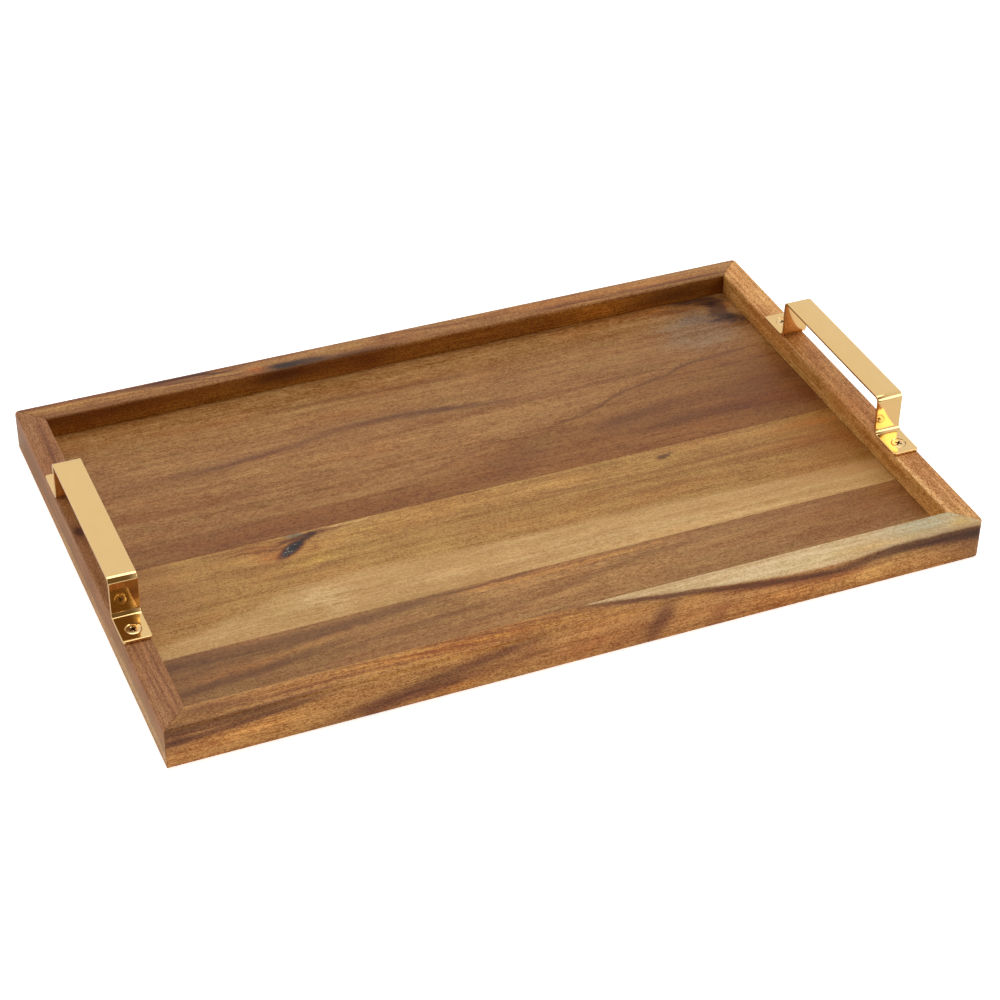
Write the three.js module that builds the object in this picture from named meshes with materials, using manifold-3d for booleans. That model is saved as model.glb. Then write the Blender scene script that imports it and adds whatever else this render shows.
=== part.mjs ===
// Wooden serving tray with strap handles: four mitred rails stand round a flat bottom of three
// edge-glued staves, and a bent metal strap is screwed down to each short rail as a handle.
// Millimetres, +Z up, +X along the tray. The origin is at the middle of the underside.

import * as THREE from 'three';
import Module from 'manifold-3d';
import { mergeVertices } from 'three/addons/utils/BufferGeometryUtils.js';

// ---- Driving dimensions -------------------------------------------------------------------

const TRAY_LENGTH = 457;
const TRAY_WIDTH = 295;
const TRAY_HEIGHT = 24;
const CORNER_RADIUS = 2.5; // upright corners of the finished frame

const RAIL_WIDTH = 15;
const RAIL_TOP_RADIUS = 1.2; // eased edges along the top of a rail
const RAIL_BOTTOM_RADIUS = 1;
const MITRE_GAP = 0.2; // glue line between two rails
const FRAME_CUT_HEIGHT = 2 * TRAY_HEIGHT; // of the blocks that trim the rails, more than a rail
const MITRE_CUT_REACH = 2 * RAIL_WIDTH; // of the block that cuts the mitres, more than a rail's width

const FLOOR_DEPTH = 12.7; // from the top of the rails down to the serving surface
const FLOOR_THICKNESS = 8;
const GROOVE_DEPTH = 5; // how far the rails are grooved for the floor
const GROOVE_END_PLAY = 0.7; // room for the floor to swell with damp
const GROOVE_FACE_PLAY = 0.15;
const TONGUE_STEP = 0.4; // the boards are this much thinner where they enter the groove
const SHOULDER_GAP = 0.3; // between that step and the inside face of a rail
const SEAM_PLACES = [-81.5, -5]; // Y of the glue lines between the staves
const SEAM_GAP = 0.1;

const SPLINE_LENGTH = 13; // hidden tongue across each mitre, measured along the mitre face
const SPLINE_WIDTH = 8;
const SPLINE_THICKNESS = 2.5;
const SPLINE_HEIGHT = 17.5; // of its middle, above the underside of the tray
const SPLINE_PLAY = 0.3;

const STRAP_WIDTH = 15.5;
const STRAP_THICKNESS = 1.6;
const HANDLE_SPAN = 155; // over the ends of the two feet
const LEG_SPAN = 111; // over the outer faces of the two legs
const GRIP_HEIGHT = 25; // from the rail to the top of the grip
const GRIP_BEND_RADIUS = 3.6; // outer radius of the two upper bends
const FOOT_BEND_RADIUS = 3; // upper radius of the two lower bends
const FOOT_CORNER_RADIUS = 1.5;
const SEAT_GAP = 0.1; // lacquer between a foot and the rail
const BAND_BLANK_WIDTH = 2 * STRAP_WIDTH; // oversize, before the plan of the strap trims it
const PLAN_CUT_HEIGHT = 4 * GRIP_HEIGHT; // more than twice the height of the strap

const SCREW_SPAN = 137; // between the middles of the two screws of a handle
const HEAD_RADIUS = 3.9;
const HEAD_RIM = 0.3; // upright edge of the countersunk head
const HEAD_DEPTH = 2.3;
const SHANK_RADIUS = 1.75;
const THREAD_CORE_RADIUS = 1.25;
const THREAD_PITCH = 1.6;
const THREAD_TURNS = 5;
const SHANK_PLAIN_LENGTH = 2.5;
const SCREW_TIP_LENGTH = 2.4;
const RECESS_LENGTH = 4.2; // cross recess, tip to tip
const RECESS_WIDTH = 1.1;
const RECESS_DEPTH = 1.5;
const SCREW_PLAY = 0.3; // clearance of the screw in the strap and in the wood

const BEND_STEPS = 6;
const EDGE_STEPS = 3;
const ROUND_STEPS = 24;

// ---- Worked out from them -----------------------------------------------------------------

const floorTop = TRAY_HEIGHT - FLOOR_DEPTH;
const floorBottom = floorTop - FLOOR_THICKNESS;
const wellLength = TRAY_LENGTH - 2 * RAIL_WIDTH;
const wellWidth = TRAY_WIDTH - 2 * RAIL_WIDTH;
const tongueTop = floorTop - TONGUE_STEP;
const floorTongue = GROOVE_DEPTH - GROOVE_END_PLAY;
const strapBottom = TRAY_HEIGHT + SEAT_GAP;
const strapTop = strapBottom + STRAP_THICKNESS;

// ---- Materials ----------------------------------------------------------------------------

function wood(color) {
  return new THREE.MeshStandardMaterial({ color, roughness: 0.5, metalness: 0 });
}

const railWood = wood(0x9a6234);
const sideRailWood = wood(0x9c5c38);
const backStaveWood = wood(0x7d5535);
const middleStaveWood = wood(0x9d6f42);
const frontStaveWood = wood(0x714a30);
const splineWood = wood(0xb98f5e);
const polishedGold = new THREE.MeshStandardMaterial({ color: 0xe2be82, roughness: 0.15, metalness: 1 });

// ---- Solid modelling ----------------------------------------------------------------------

const wasm = await Module();
wasm.setup();

function toSolid(geometry) {
  const bare = geometry.clone();
  bare.deleteAttribute('normal');
  bare.deleteAttribute('uv');
  const merged = mergeVertices(bare);
  const index = merged.index.array;
  const mesh = new wasm.Mesh({
    numProp: 3,
    vertProperties: new Float32Array(merged.attributes.position.array),
    triVerts: new Uint32Array(index),
  });
  return new wasm.Manifold(mesh);
}

function toGeometry(solid) {
  const mesh = solid.getMesh();
  const geometry = new THREE.BufferGeometry();
  geometry.setAttribute('position', new THREE.BufferAttribute(mesh.vertProperties, 3));
  geometry.setIndex(new THREE.BufferAttribute(mesh.triVerts, 1));
  geometry.computeVertexNormals();
  return geometry;
}

function cutAway(geometry, cutters) {
  let solid = toSolid(geometry);
  for (const cutter of cutters) {
    solid = solid.subtract(toSolid(cutter));
  }
  return toGeometry(solid);
}

// A closed outline extruded from -depth/2 to +depth/2 along Z.
function prism(shape, depth, curveSegments = EDGE_STEPS) {
  const geometry = new THREE.ExtrudeGeometry(shape, { depth, bevelEnabled: false, curveSegments });
  geometry.translate(0, 0, -depth / 2);
  return geometry;
}

function box(sizeX, sizeY, sizeZ, x = 0, y = 0, z = 0) {
  const geometry = new THREE.BoxGeometry(sizeX, sizeY, sizeZ);
  geometry.translate(x, y, z);
  return geometry;
}

const group = new THREE.Group();

function addPiece(name, geometry, material) {
  const mesh = new THREE.Mesh(geometry, material);
  mesh.name = name;
  group.add(mesh);
  return mesh;
}

// ---- Rails --------------------------------------------------------------------------------

// Cross-section of a rail: the outside face at x = 0, the inside face at x = RAIL_WIDTH with the
// groove for the floor, y up from the underside.
function railSection() {
  const top = RAIL_TOP_RADIUS;
  const bottom = RAIL_BOTTOM_RADIUS;
  const grooveEnd = RAIL_WIDTH - GROOVE_DEPTH;
  const shape = new THREE.Shape();
  shape.moveTo(bottom, 0);
  shape.lineTo(RAIL_WIDTH - bottom, 0);
  shape.absarc(RAIL_WIDTH - bottom, bottom, bottom, -Math.PI / 2, 0);
  shape.lineTo(RAIL_WIDTH, floorBottom - GROOVE_FACE_PLAY);
  shape.lineTo(grooveEnd, floorBottom - GROOVE_FACE_PLAY);
  shape.lineTo(grooveEnd, tongueTop + GROOVE_FACE_PLAY);
  shape.lineTo(RAIL_WIDTH, tongueTop + GROOVE_FACE_PLAY);
  shape.lineTo(RAIL_WIDTH, TRAY_HEIGHT - top);
  shape.absarc(RAIL_WIDTH - top, TRAY_HEIGHT - top, top, 0, Math.PI / 2);
  shape.lineTo(top, TRAY_HEIGHT);
  shape.absarc(top, TRAY_HEIGHT - top, top, Math.PI / 2, Math.PI);
  shape.lineTo(0, bottom);
  shape.absarc(bottom, bottom, bottom, Math.PI, 1.5 * Math.PI);
  return shape;
}

// Plan of the finished frame, which rounds the upright corners.
function frameBlank() {
  const halfLength = TRAY_LENGTH / 2;
  const halfWidth = TRAY_WIDTH / 2;
  const r = CORNER_RADIUS;
  const shape = new THREE.Shape();
  shape.moveTo(-halfLength + r, -halfWidth);
  shape.lineTo(halfLength - r, -halfWidth);
  shape.absarc(halfLength - r, -halfWidth + r, r, -Math.PI / 2, 0);
  shape.lineTo(halfLength, halfWidth - r);
  shape.absarc(halfLength - r, halfWidth - r, r, 0, Math.PI / 2);
  shape.lineTo(-halfLength + r, halfWidth);
  shape.absarc(-halfLength + r, halfWidth - r, r, Math.PI / 2, Math.PI);
  shape.lineTo(-halfLength, -halfWidth + r);
  shape.absarc(-halfLength + r, -halfWidth + r, r, Math.PI, 1.5 * Math.PI);
  const blank = prism(shape, FRAME_CUT_HEIGHT, BEND_STEPS);
  blank.translate(0, 0, TRAY_HEIGHT / 2);
  return blank;
}

// The four mitre planes stand at 45 degrees through the corners. A rail keeps what lies inside
// the trapezium between its two, less half the glue line on each.
function mitreTrapezium(length) {
  const half = length / 2 - MITRE_GAP * Math.SQRT1_2;
  const shape = new THREE.Shape();
  shape.moveTo(-half, 0);
  shape.lineTo(half, 0);
  shape.lineTo(half - MITRE_CUT_REACH, MITRE_CUT_REACH);
  shape.lineTo(-half + MITRE_CUT_REACH, MITRE_CUT_REACH);
  shape.closePath();
  const cutter = prism(shape, FRAME_CUT_HEIGHT);
  cutter.translate(0, 0, TRAY_HEIGHT / 2);
  return cutter;
}

// A rail lying along X with its outside face on y = 0 and its inside face towards +Y.
function straightRail(length) {
  const rail = prism(railSection(), length);
  rail.rotateX(Math.PI / 2);
  rail.rotateZ(Math.PI / 2);
  return toSolid(rail).intersect(toSolid(mitreTrapezium(length)));
}

// The spline lies flat across the mitre, half in each rail.
function splineBlock(grow) {
  const block = box(SPLINE_LENGTH + 2 * grow, SPLINE_WIDTH + 2 * grow, SPLINE_THICKNESS + 2 * grow);
  block.translate(0, 0, SPLINE_HEIGHT);
  return block;
}

const corners = [
  { name: 'front_left', x: -1, y: -1 },
  { name: 'front_right', x: 1, y: -1 },
  { name: 'back_right', x: 1, y: 1 },
  { name: 'back_left', x: -1, y: 1 },
];

function atCorner(geometry, corner) {
  geometry.rotateZ((corner.x * corner.y * Math.PI) / 4);
  const inset = RAIL_WIDTH / 2;
  geometry.translate(corner.x * (TRAY_LENGTH / 2 - inset), corner.y * (TRAY_WIDTH / 2 - inset), 0);
  return geometry;
}

// ---- Handles ------------------------------------------------------------------------------

// Side view of the strap as a band of constant thickness: foot, lower bend, leg, upper bend and
// grip, then the same again in mirror image. x runs along the rail and y up from its top.
function strapOutline() {
  const t = STRAP_THICKNESS;
  const footEnd = HANDLE_SPAN / 2;
  const leg = LEG_SPAN / 2;
  const upperOuter = GRIP_BEND_RADIUS;
  const upperInner = GRIP_BEND_RADIUS - t;
  const lowerInner = FOOT_BEND_RADIUS;
  const lowerOuter = FOOT_BEND_RADIUS + t;
  const upperY = GRIP_HEIGHT - upperOuter;
  const lowerX = leg + lowerInner;
  const lowerY = t + lowerInner;
  const upperX = leg - upperOuter;
  const shape = new THREE.Shape();
  shape.moveTo(-footEnd, 0);
  shape.lineTo(-lowerX, 0);
  shape.absarc(-lowerX, lowerY, lowerOuter, -Math.PI / 2, 0);
  shape.lineTo(-leg + t, upperY);
  shape.absarc(-upperX, upperY, upperInner, Math.PI, Math.PI / 2, true);
  shape.lineTo(upperX, GRIP_HEIGHT - t);
  shape.absarc(upperX, upperY, upperInner, Math.PI / 2, 0, true);
  shape.lineTo(leg - t, lowerY);
  shape.absarc(lowerX, lowerY, lowerOuter, Math.PI, 1.5 * Math.PI);
  shape.lineTo(footEnd, 0);
  shape.lineTo(footEnd, t);
  shape.lineTo(lowerX, t);
  shape.absarc(lowerX, lowerY, lowerInner, 1.5 * Math.PI, Math.PI, true);
  shape.lineTo(leg, upperY);
  shape.absarc(upperX, upperY, upperOuter, 0, Math.PI / 2);
  shape.lineTo(-upperX, GRIP_HEIGHT);
  shape.absarc(-upperX, upperY, upperOuter, Math.PI / 2, Math.PI);
  shape.lineTo(-leg, lowerY);
  shape.absarc(-lowerX, lowerY, lowerInner, 0, -Math.PI / 2, true);
  shape.lineTo(-footEnd, t);
  shape.closePath();
  return shape;
}

// Plan of the strap with its foot corners rounded.
function strapPlan() {
  const halfSpan = HANDLE_SPAN / 2;
  const halfWidth = STRAP_WIDTH / 2;
  const r = FOOT_CORNER_RADIUS;
  const shape = new THREE.Shape();
  shape.moveTo(-halfWidth + r, -halfSpan);
  shape.lineTo(halfWidth - r, -halfSpan);
  shape.absarc(halfWidth - r, -halfSpan + r, r, -Math.PI / 2, 0);
  shape.lineTo(halfWidth, halfSpan - r);
  shape.absarc(halfWidth - r, halfSpan - r, r, 0, Math.PI / 2);
  shape.lineTo(-halfWidth + r, halfSpan);
  shape.absarc(-halfWidth + r, halfSpan - r, r, Math.PI / 2, Math.PI);
  shape.lineTo(-halfWidth, -halfSpan + r);
  shape.absarc(-halfWidth + r, -halfSpan + r, r, Math.PI, 1.5 * Math.PI);
  return prism(shape, PLAN_CUT_HEIGHT);
}

// A handle standing on z = 0, running along Y.
function handleGeometry() {
  const band = prism(strapOutline(), BAND_BLANK_WIDTH, BEND_STEPS);
  band.rotateX(Math.PI / 2);
  band.rotateZ(Math.PI / 2);
  let handle = toSolid(band).intersect(toSolid(strapPlan()));
  for (const side of [-1, 1]) {
    const hole = screwEnvelope();
    hole.translate(0, (side * SCREW_SPAN) / 2, STRAP_THICKNESS);
    handle = handle.subtract(toSolid(hole));
  }
  return toGeometry(handle);
}

// ---- Screws -------------------------------------------------------------------------------

const threadLength = THREAD_PITCH * THREAD_TURNS;
const threadTop = -HEAD_DEPTH - SHANK_PLAIN_LENGTH;
const screwTip = threadTop - threadLength - SCREW_TIP_LENGTH;

// A countersunk wood screw hanging down from z = 0, the flat top of its head. The thread is
// a stack of ridges of the right pitch.
function screwGeometry() {
  const profile = [new THREE.Vector2(0, screwTip)];
  for (let turn = THREAD_TURNS; turn > 0; turn -= 1) {
    const root = threadTop - turn * THREAD_PITCH;
    profile.push(new THREE.Vector2(THREAD_CORE_RADIUS, root));
    profile.push(new THREE.Vector2(SHANK_RADIUS, root + THREAD_PITCH / 2));
  }
  profile.push(new THREE.Vector2(THREAD_CORE_RADIUS, threadTop));
  profile.push(new THREE.Vector2(SHANK_RADIUS, threadTop + THREAD_PITCH / 4));
  profile.push(new THREE.Vector2(SHANK_RADIUS, -HEAD_DEPTH));
  profile.push(new THREE.Vector2(HEAD_RADIUS, -HEAD_RIM));
  profile.push(new THREE.Vector2(HEAD_RADIUS, 0));
  profile.push(new THREE.Vector2(0, 0));
  const blank = new THREE.LatheGeometry(profile, ROUND_STEPS);
  blank.rotateX(Math.PI / 2);
  const recess = [
    box(RECESS_LENGTH, RECESS_WIDTH, 2 * RECESS_DEPTH),
    box(RECESS_WIDTH, RECESS_LENGTH, 2 * RECESS_DEPTH),
  ];
  return cutAway(blank, recess);
}

// The hole that such a screw needs: its head and shank with the clearance all round.
function screwEnvelope() {
  const head = HEAD_RADIUS + SCREW_PLAY;
  const shank = SHANK_RADIUS + SCREW_PLAY;
  const profile = [
    new THREE.Vector2(0, screwTip - SCREW_PLAY),
    new THREE.Vector2(shank, screwTip + SCREW_TIP_LENGTH - SCREW_PLAY),
    new THREE.Vector2(shank, -HEAD_DEPTH - SCREW_PLAY / 2),
    new THREE.Vector2(head, -HEAD_RIM - SCREW_PLAY / 2),
    new THREE.Vector2(head, STRAP_THICKNESS),
    new THREE.Vector2(0, STRAP_THICKNESS),
  ];
  const envelope = new THREE.LatheGeometry(profile, ROUND_STEPS);
  envelope.rotateX(Math.PI / 2);
  return envelope;
}

// ---- Assembly -----------------------------------------------------------------------------

const handleX = TRAY_LENGTH / 2 - STRAP_WIDTH / 2; // outer edge of the strap flush with the rail
const screwPlaces = [
  { name: 'left_front', x: -handleX, y: -SCREW_SPAN / 2 },
  { name: 'left_back', x: -handleX, y: SCREW_SPAN / 2 },
  { name: 'right_front', x: handleX, y: -SCREW_SPAN / 2 },
  { name: 'right_back', x: handleX, y: SCREW_SPAN / 2 },
];

const frameSides = [
  { name: 'rail_front', length: TRAY_LENGTH, setback: TRAY_WIDTH / 2, turn: 0, material: railWood },
  { name: 'rail_right', length: TRAY_WIDTH, setback: TRAY_LENGTH / 2, turn: 1, material: sideRailWood },
  { name: 'rail_back', length: TRAY_LENGTH, setback: TRAY_WIDTH / 2, turn: 2, material: railWood },
  { name: 'rail_left', length: TRAY_WIDTH, setback: TRAY_LENGTH / 2, turn: 3, material: sideRailWood },
];

function buildRail(side) {
  const placed = toGeometry(straightRail(side.length));
  placed.translate(0, -side.setback, 0);
  placed.rotateZ((side.turn * Math.PI) / 2);
  let rail = toSolid(placed).intersect(toSolid(frameBlank()));
  for (const corner of corners) {
    rail = rail.subtract(toSolid(atCorner(splineBlock(SPLINE_PLAY), corner)));
  }
  for (const place of screwPlaces) {
    const hole = screwEnvelope();
    hole.translate(place.x, place.y, strapTop);
    rail = rail.subtract(toSolid(hole));
  }
  return toGeometry(rail);
}

for (const side of frameSides) {
  addPiece(side.name, buildRail(side), side.material);
}

for (const corner of corners) {
  addPiece(`mitre_spline_${corner.name}`, atCorner(splineBlock(0), corner), splineWood);
}

// A block between two values of Y, centred on x = 0.
function board(length, front, back, bottom, top) {
  return box(length, back - front, top - bottom, 0, (front + back) / 2, (bottom + top) / 2);
}

// A stave reaches into the grooves with a thinner tongue, and its full thickness stands inside
// the rails.
function staveGeometry(front, back) {
  const raisedLength = wellLength - 2 * SHOULDER_GAP;
  const raisedEdge = wellWidth / 2 - SHOULDER_GAP;
  const raisedFront = Math.max(front, -raisedEdge);
  const raisedBack = Math.min(back, raisedEdge);
  const tongue = board(wellLength + 2 * floorTongue, front, back, floorBottom, tongueTop);
  const raised = board(raisedLength, raisedFront, raisedBack, floorBottom, floorTop);
  return toGeometry(toSolid(tongue).add(toSolid(raised)));
}

// Staves from front to back, each between two glue lines or let into the front or back groove.
const staves = [
  { name: 'stave_front', material: frontStaveWood },
  { name: 'stave_middle', material: middleStaveWood },
  { name: 'stave_back', material: backStaveWood },
];
const floorEdge = wellWidth / 2 + floorTongue;
const staveEdges = [-floorEdge, ...SEAM_PLACES, floorEdge];

staves.forEach((stave, i) => {
  const front = staveEdges[i] + (i === 0 ? 0 : SEAM_GAP / 2);
  const back = staveEdges[i + 1] - (i === staves.length - 1 ? 0 : SEAM_GAP / 2);
  addPiece(stave.name, staveGeometry(front, back), stave.material);
});

for (const side of [-1, 1]) {
  const handle = addPiece(side < 0 ? 'handle_left' : 'handle_right', handleGeometry(), polishedGold);
  handle.position.set(side * handleX, 0, strapBottom);
}

for (const place of screwPlaces) {
  const screw = addPiece(`screw_${place.name}`, screwGeometry(), polishedGold);
  screw.position.set(place.x, place.y, strapTop);
}

export default group;
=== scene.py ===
"""Looks of a wooden serving tray with two bent gold straps for handles.

Metres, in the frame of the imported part."""

import math

import bmesh
import bpy
from mathutils import Matrix, Vector, noise


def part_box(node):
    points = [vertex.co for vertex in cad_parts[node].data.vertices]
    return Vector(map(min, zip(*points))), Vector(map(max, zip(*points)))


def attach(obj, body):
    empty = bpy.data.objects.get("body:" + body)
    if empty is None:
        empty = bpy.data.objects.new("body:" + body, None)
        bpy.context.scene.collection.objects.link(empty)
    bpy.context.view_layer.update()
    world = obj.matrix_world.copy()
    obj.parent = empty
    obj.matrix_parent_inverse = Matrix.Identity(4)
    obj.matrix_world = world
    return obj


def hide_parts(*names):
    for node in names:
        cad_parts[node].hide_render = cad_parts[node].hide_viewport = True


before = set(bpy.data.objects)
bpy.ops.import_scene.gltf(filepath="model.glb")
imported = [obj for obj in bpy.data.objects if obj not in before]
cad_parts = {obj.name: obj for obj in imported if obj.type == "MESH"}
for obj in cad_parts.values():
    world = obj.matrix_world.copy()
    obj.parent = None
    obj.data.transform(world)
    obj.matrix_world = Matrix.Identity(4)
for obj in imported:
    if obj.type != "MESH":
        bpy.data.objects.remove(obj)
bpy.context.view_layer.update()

MM = 0.001

# ---- Sizes, all from the frame -----------------------------------------------

long_rail_low, long_rail_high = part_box("rail_back")
_, short_rail_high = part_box("rail_right")
middle_low, middle_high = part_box("stave_middle")

HALF_LENGTH = short_rail_high.x
HALF_WIDTH = long_rail_high.y
HEIGHT = long_rail_high.z
RAIL_WIDTH = long_rail_high.y - long_rail_low.y
WELL_X = HALF_LENGTH - RAIL_WIDTH
WELL_Y = HALF_WIDTH - RAIL_WIDTH
FLOOR_TOP = middle_high.z
FLOOR_BOTTOM = middle_low.z

# ---- Small shapes that only the looks need -----------------------------------

CORNER_RADII = (3.8 * MM, 2.6 * MM, 2.6 * MM, 0.6 * MM)  # front right, back right, back left, front left
TOP_EASE = 1.5 * MM  # rounding along the upper edges of a rail
BOTTOM_EASE = 1.0 * MM
MITRE_GAP = 0.06 * MM
MITRE_EASE = 0.16 * MM  # tiny bevel that makes the mitre line visible
GROOVE_DEPTH = 5 * MM
GROOVE_PLAY = 0.15 * MM
TONGUE_STEP = 0.4 * MM
SHOULDER_GAP = 0.3 * MM
BOARD_EASE = 0.12 * MM
SEAM_SQUEEZE = 0.04 * MM  # how far a board reaches into the glue line beside it
SANDING_WAVE = 0.07 * MM  # how far hand sanding leaves the rails from true
SANDING_FREQUENCY = (22, 60, 60)  # waves per metre along a rail, across it and up it
CORNER_LEAD = 1.5 * MM  # over which a rail's end turns into the mitre
STATION_STEP = 9 * MM  # between the rings of points along a rail or a board
RAIL_MARGIN = 4 * MM  # from the last of these rings to the mitre, at the inner face
BOARD_MARGIN = 2 * MM
ARC_STEPS = 6


# ---- Meshes ------------------------------------------------------------------


def shade(mesh, sharp_degrees=32):
    """Smooth shading, but for the edges that turn by more than that."""
    for polygon in mesh.polygons:
        polygon.use_smooth = True
    mesh.set_sharp_from_angle(angle=math.radians(sharp_degrees))


def mesh_object(name, builder, sharp_degrees=32):
    """An object made of what the builder put into a bmesh."""
    bmesh.ops.remove_doubles(builder, verts=builder.verts, dist=1e-7)
    bmesh.ops.dissolve_degenerate(builder, edges=builder.edges, dist=1e-7)
    bmesh.ops.recalc_face_normals(builder, faces=builder.faces)
    mesh = bpy.data.meshes.new(name)
    builder.to_mesh(mesh)
    builder.free()
    shade(mesh, sharp_degrees)
    piece = bpy.data.objects.new(name, mesh)
    bpy.context.scene.collection.objects.link(piece)
    return piece


def skin(rings):
    """A bmesh that joins rings of points, each with the same count, into one closed body."""
    builder = bmesh.new()
    loops = [[builder.verts.new(point) for point in ring] for ring in rings]
    count = len(rings[0])
    for here, after in zip(loops, loops[1:]):
        for i in range(count):
            j = (i + 1) % count
            builder.faces.new((here[i], here[j], after[j], after[i]))
    builder.faces.new(list(reversed(loops[0])))
    builder.faces.new(loops[-1])
    return builder


def arc(centre_x, centre_y, radius, start, end, steps=ARC_STEPS):
    """Points of an arc in a plane, with its angles in degrees."""
    points = []
    for i in range(steps + 1):
        angle = math.radians(start + (end - start) * i / steps)
        points.append((centre_x + radius * math.cos(angle), centre_y + radius * math.sin(angle)))
    return points


def inset(outline, amount):
    """The outline moved inwards. It runs anticlockwise."""
    moved = []
    count = len(outline)
    for i, (x, y) in enumerate(outline):
        before = Vector(outline[i - 1])
        after = Vector(outline[(i + 1) % count])
        here = Vector((x, y))
        first = (here - before).normalized()
        second = (after - here).normalized()
        normal = Vector((-first.y - second.y, first.x + second.x))
        normal.normalize()
        lean = max(normal.dot(Vector((-first.y, first.x))), 0.4)
        moved.append((x + normal.x * amount / lean, y + normal.y * amount / lean))
    return moved


def cut(piece, cutter):
    """Takes the cutter's volume out of the piece and removes the cutter."""
    boolean = piece.modifiers.new("cut", "BOOLEAN")
    boolean.operation = "DIFFERENCE"
    boolean.solver = "EXACT"
    boolean.object = cutter
    bpy.context.view_layer.update()
    evaluated = piece.evaluated_get(bpy.context.evaluated_depsgraph_get())
    mesh = bpy.data.meshes.new_from_object(evaluated)
    piece.modifiers.clear()
    piece.data = mesh
    bpy.data.objects.remove(cutter)


def lathe(name, profile, centre, sides=48):
    """A body turned round a vertical axis through centre, from a list of (radius, height)."""
    rings = []
    for radius, height in profile:
        ring = []
        for i in range(sides):
            angle = 2 * math.pi * i / sides
            ring.append((radius * math.cos(angle), radius * math.sin(angle), height))
        rings.append(ring)
    builder = skin(rings)
    bmesh.ops.translate(builder, vec=centre, verts=builder.verts)
    return mesh_object(name, builder)


# ---- Rails -------------------------------------------------------------------


def rail_section():
    """Outline of a rail, anticlockwise: distance in from the outside face, and height."""
    groove_end = RAIL_WIDTH - GROOVE_DEPTH
    groove_low = FLOOR_BOTTOM - GROOVE_PLAY
    groove_high = FLOOR_TOP - TONGUE_STEP + GROOVE_PLAY
    low = BOTTOM_EASE
    top = TOP_EASE
    outline = arc(low, low, low, 180, 270)
    outline += [(RAIL_WIDTH / 2, 0)]
    outline += arc(RAIL_WIDTH - low, low, low, 270, 360)
    outline += [(RAIL_WIDTH, groove_low), (groove_end, groove_low)]
    outline += [(groove_end, groove_high), (RAIL_WIDTH, groove_high)]
    outline += arc(RAIL_WIDTH - top, HEIGHT - top, top, 0, 90)
    outline += [(RAIL_WIDTH / 2, HEIGHT)]
    outline += arc(top, HEIGHT - top, top, 90, 180)
    outline += [(0, HEIGHT * 2 / 3), (0, HEIGHT / 3)]
    return outline


def rail_end_ring(outline, half, radius, turn, pull):
    """Points of the section where the corner has turned by that many degrees, 45 being the mitre.

    The rail runs along +X with its outside face on y = 0, and pull shortens it."""
    angle = math.radians(turn)
    lead = CORNER_LEAD * (1 - turn / 45)
    ring = []
    for depth, height in outline:
        if depth < radius:
            reach = radius - depth
            x = half - radius + reach * math.sin(angle)
            y = radius - reach * math.cos(angle)
        else:
            x = half - depth - lead
            y = depth
        ring.append((x - pull, y, height))
    return ring


def rail_end(half, radius):
    """The rings of a rail's right end, from its straight part out to the mitre."""
    outline = rail_section()
    eased = inset(outline, MITRE_EASE)
    rings = [rail_end_ring(outline, half, radius, 45 * i / ARC_STEPS, 0) for i in range(ARC_STEPS)]
    gap = MITRE_GAP * math.sqrt(0.5)
    rings.append(rail_end_ring(outline, half, radius, 45, gap + MITRE_EASE * math.sqrt(2)))
    rings.append(rail_end_ring(eased, half, radius, 45, gap))
    return rings


def sand(builder, reach, seed):
    """Waves the top and the upright faces of a rail a little. Its ends past reach stay true."""
    along, across, up = SANDING_FREQUENCY
    for vert in builder.verts:
        x, y, z = vert.co
        grooved = RAIL_WIDTH - y < GROOVE_DEPTH + MM and z < FLOOR_TOP + MM
        if z > MM and not grooved and abs(x) < reach:
            wave = Vector((x * along, y * across, z * up + seed))
            side = -1 if y > RAIL_WIDTH / 2 else 1
            vert.co.y += side * SANDING_WAVE * abs(noise.noise(wave))
            if z > HEIGHT - TOP_EASE:
                vert.co.z -= SANDING_WAVE * abs(noise.noise(wave + Vector((0, 7, 0))))


def rail(name, half, turns, seed):
    """A rail whose ends meet its neighbours at the mitres, set on its side of the tray."""
    outline = rail_section()
    right = rail_end(half, CORNER_RADII[turns])
    straight = half - RAIL_WIDTH - RAIL_MARGIN
    stations = max(2, round(2 * straight / STATION_STEP))
    middle = []
    for i in range(stations + 1):
        x = -straight + 2 * straight * i / stations
        middle.append([(x, depth, height) for depth, height in outline])
    left = rail_end(half, CORNER_RADII[turns - 1])
    left = [[(-x, y, z) for x, y, z in ring] for ring in reversed(left)]
    builder = skin(left + middle + right)
    sand(builder, straight, seed)
    setback = HALF_WIDTH if turns % 2 == 0 else HALF_LENGTH
    turn = Matrix.Rotation(math.radians(90 * turns), 4, "Z")
    bmesh.ops.transform(builder, matrix=turn @ Matrix.Translation((0, -setback, 0)), verts=builder.verts)
    return mesh_object(name, builder, sharp_degrees=40)


# ---- Floor boards ------------------------------------------------------------


def board_section(front, back, at_front, at_back):
    """Outline of a board, anticlockwise in y and z. A long edge that enters a rail has a tongue."""
    tongue_top = FLOOR_TOP - TONGUE_STEP
    shoulder = WELL_Y - SHOULDER_GAP
    ease = BOARD_EASE
    raised_front = -shoulder if at_front else front
    raised_back = shoulder if at_back else back
    outline = [(front, FLOOR_BOTTOM), (back, FLOOR_BOTTOM), (back, tongue_top)]
    outline += [(raised_back, tongue_top)]
    outline += arc(raised_back - ease, FLOOR_TOP - ease, ease, 0, 90, 3)
    outline += arc(raised_front + ease, FLOOR_TOP - ease, ease, 90, 180, 3)
    outline += [(raised_front, tongue_top), (front, tongue_top)]
    return outline


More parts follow.
